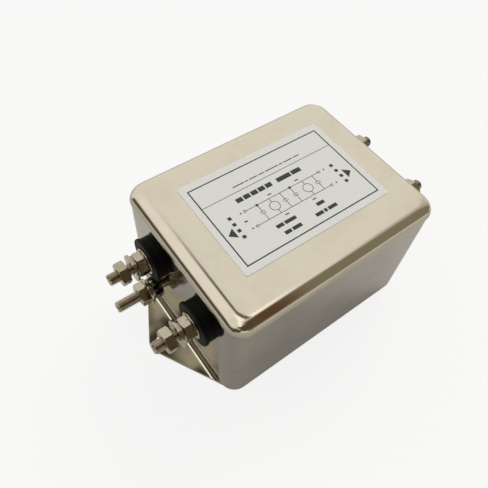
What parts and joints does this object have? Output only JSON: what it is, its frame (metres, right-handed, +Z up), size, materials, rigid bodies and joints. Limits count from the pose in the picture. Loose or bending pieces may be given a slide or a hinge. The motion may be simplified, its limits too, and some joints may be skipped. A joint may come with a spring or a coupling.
{
  "type": "emi power line filter",
  "caption": "Mains noise filter in a drawn metal can with a pressed lid, insulated stud terminals at both ends, an earth stud and a base plate with slotted ears.",
  "frame": {"origin": "middle of the mounting face under the base plate", "axes": "+X from the line end to the load end, +Z up out of the mounting face, +Y to the rear, which is the side of the earth stud"},
  "size_m": [0.1113, 0.06, 0.049],
  "materials": {
    "can_nickel": "bright nickel, slightly uneven from drawing",
    "lid_nickel": "satin nickel with a warm cast",
    "plate_nickel": "bright nickel, dull in places",
    "label_paper": "semi-matt printed paper",
    "black_insulator": "moulded black, faint sheen",
    "stud_nickel": "nickel over brass, rolled thread",
    "nut_nickel": "bright nickel",
    "washer_nickel": "bright nickel",
    "spring_steel": "zinc plated spring steel",
    "liner_card": "insulating card",
    "potting_resin": "cured resin",
    "board_laminate": "green laminate",
    "core_coating": "coated ferrite ring",
    "copper_wire": "enamelled copper",
    "saddle_plastic": "moulded nylon",
    "film_case": "moulded yellow case",
    "disc_coating": "blue dipped epoxy",
    "resistor_coating": "beige lacquer",
    "lug_brass": "tinned brass",
    "lead_brown": "brown sleeving",
    "lead_green": "green and yellow sleeving"
  },
  "bodies": {
    "housing": {"can": "can_nickel", "lid": "lid_nickel", "base_plate": "plate_nickel", "label": "label_paper", "thin_washers": "washer_nickel", "lock_nuts": "nut_nickel", "earth_stud": "stud_nickel", "earth_backing_nut": "nut_nickel", "liner": "liner_card", "potting": "potting_resin", "circuit_board": "board_laminate", "line_choke_core": "core_coating", "load_choke_core": "core_coating", "line_choke_saddle": "saddle_plastic", "load_choke_saddle": "saddle_plastic", "line_choke_front_winding": "copper_wire", "line_choke_rear_winding": "copper_wire", "load_choke_front_winding": "copper_wire", "load_choke_rear_winding": "copper_wire", "line_film_capacitor": "film_case", "middle_film_capacitor": "film_case", "load_film_capacitor": "film_case", "disc_capacitors": "disc_coating", "bleed_resistor": "resistor_coating", "ring_lugs": "lug_brass", "line_leads": "lead_brown", "load_leads": "lead_brown", "earth_lug": "lug_brass", "earth_lead": "lead_green", "line_front_insulator": "black_insulator", "line_front_inner_insulator": "black_insulator", "line_front_stud": "stud_nickel", "line_rear_insulator": "black_insulator", "line_rear_inner_insulator": "black_insulator", "line_rear_stud": "stud_nickel", "load_front_insulator": "black_insulator", "load_front_inner_insulator": "black_insulator", "load_front_stud": "stud_nickel", "load_rear_insulator": "black_insulator", "load_rear_inner_insulator": "black_insulator", "load_rear_stud": "stud_nickel"},
    "line_front_washers": {"line_front_spring_washer": "spring_steel", "line_front_washer": "washer_nickel"},
    "line_front_nut": {"line_front_nut": "nut_nickel"},
    "line_rear_washers": {"line_rear_spring_washer": "spring_steel", "line_rear_washer": "washer_nickel"},
    "line_rear_nut": {"line_rear_nut": "nut_nickel"},
    "load_front_washers": {"load_front_spring_washer": "spring_steel", "load_front_washer": "washer_nickel"},
    "load_front_nut": {"load_front_nut": "nut_nickel"},
    "load_rear_washers": {"load_rear_spring_washer": "spring_steel", "load_rear_washer": "washer_nickel"},
    "load_rear_nut": {"load_rear_nut": "nut_nickel"},
    "earth_washers": {"earth_spring_washer": "spring_steel", "earth_washer": "washer_nickel"},
    "earth_nut": {"earth_nut": "nut_nickel"}
  },
  "joints": [
    {"name": "line_front_turn", "type": "hinge", "parent": "housing", "child": "line_front_washers", "pos_m": [-0.039, -0.0132, 0.0314], "axis": [-1, 0, 0], "range_deg": [-725, 1445]},
    {"name": "line_front_travel", "type": "slide", "parent": "line_front_washers", "child": "line_front_nut", "axis": [-1, 0, 0], "range_m": [-0.0014, 0.0028]},
    {"name": "line_rear_turn", "type": "hinge", "parent": "housing", "child": "line_rear_washers", "pos_m": [-0.039, 0.0132, 0.0314], "axis": [-1, 0, 0], "range_deg": [-725, 1445]},
    {"name": "line_rear_travel", "type": "slide", "parent": "line_rear_washers", "child": "line_rear_nut", "axis": [-1, 0, 0], "range_m": [-0.0014, 0.0028]},
    {"name": "load_front_turn", "type": "hinge", "parent": "housing", "child": "load_front_washers", "pos_m": [0.039, -0.0132, 0.0314], "axis": [1, 0, 0], "range_deg": [-725, 1445]},
    {"name": "load_front_travel", "type": "slide", "parent": "load_front_washers", "child": "load_front_nut", "axis": [1, 0, 0], "range_m": [-0.0014, 0.0028]},
    {"name": "load_rear_turn", "type": "hinge", "parent": "housing", "child": "load_rear_washers", "pos_m": [0.039, 0.0132, 0.0314], "axis": [1, 0, 0], "range_deg": [-725, 1445]},
    {"name": "load_rear_travel", "type": "slide", "parent": "load_rear_washers", "child": "load_rear_nut", "axis": [1, 0, 0], "range_m": [-0.0014, 0.0028]},
    {"name": "earth_turn", "type": "hinge", "parent": "housing", "child": "earth_washers", "pos_m": [-0.039, 0.01, 0.01938], "axis": [-1, 0, 0], "range_deg": [-5, 3605]},
    {"name": "earth_travel", "type": "slide", "parent": "earth_washers", "child": "earth_nut", "axis": [-1, 0, 0], "range_m": [0, 0.007]}
  ],
  "couplings": [
    {"joint": "line_front_turn", "follows": "line_front_travel", "rad_per_m": 8976},
    {"joint": "line_rear_turn", "follows": "line_rear_travel", "rad_per_m": 8976},
    {"joint": "load_front_turn", "follows": "load_front_travel", "rad_per_m": 8976},
    {"joint": "load_rear_turn", "follows": "load_rear_travel", "rad_per_m": 8976},
    {"joint": "earth_turn", "follows": "earth_travel", "rad_per_m": 8976}
  ]
}
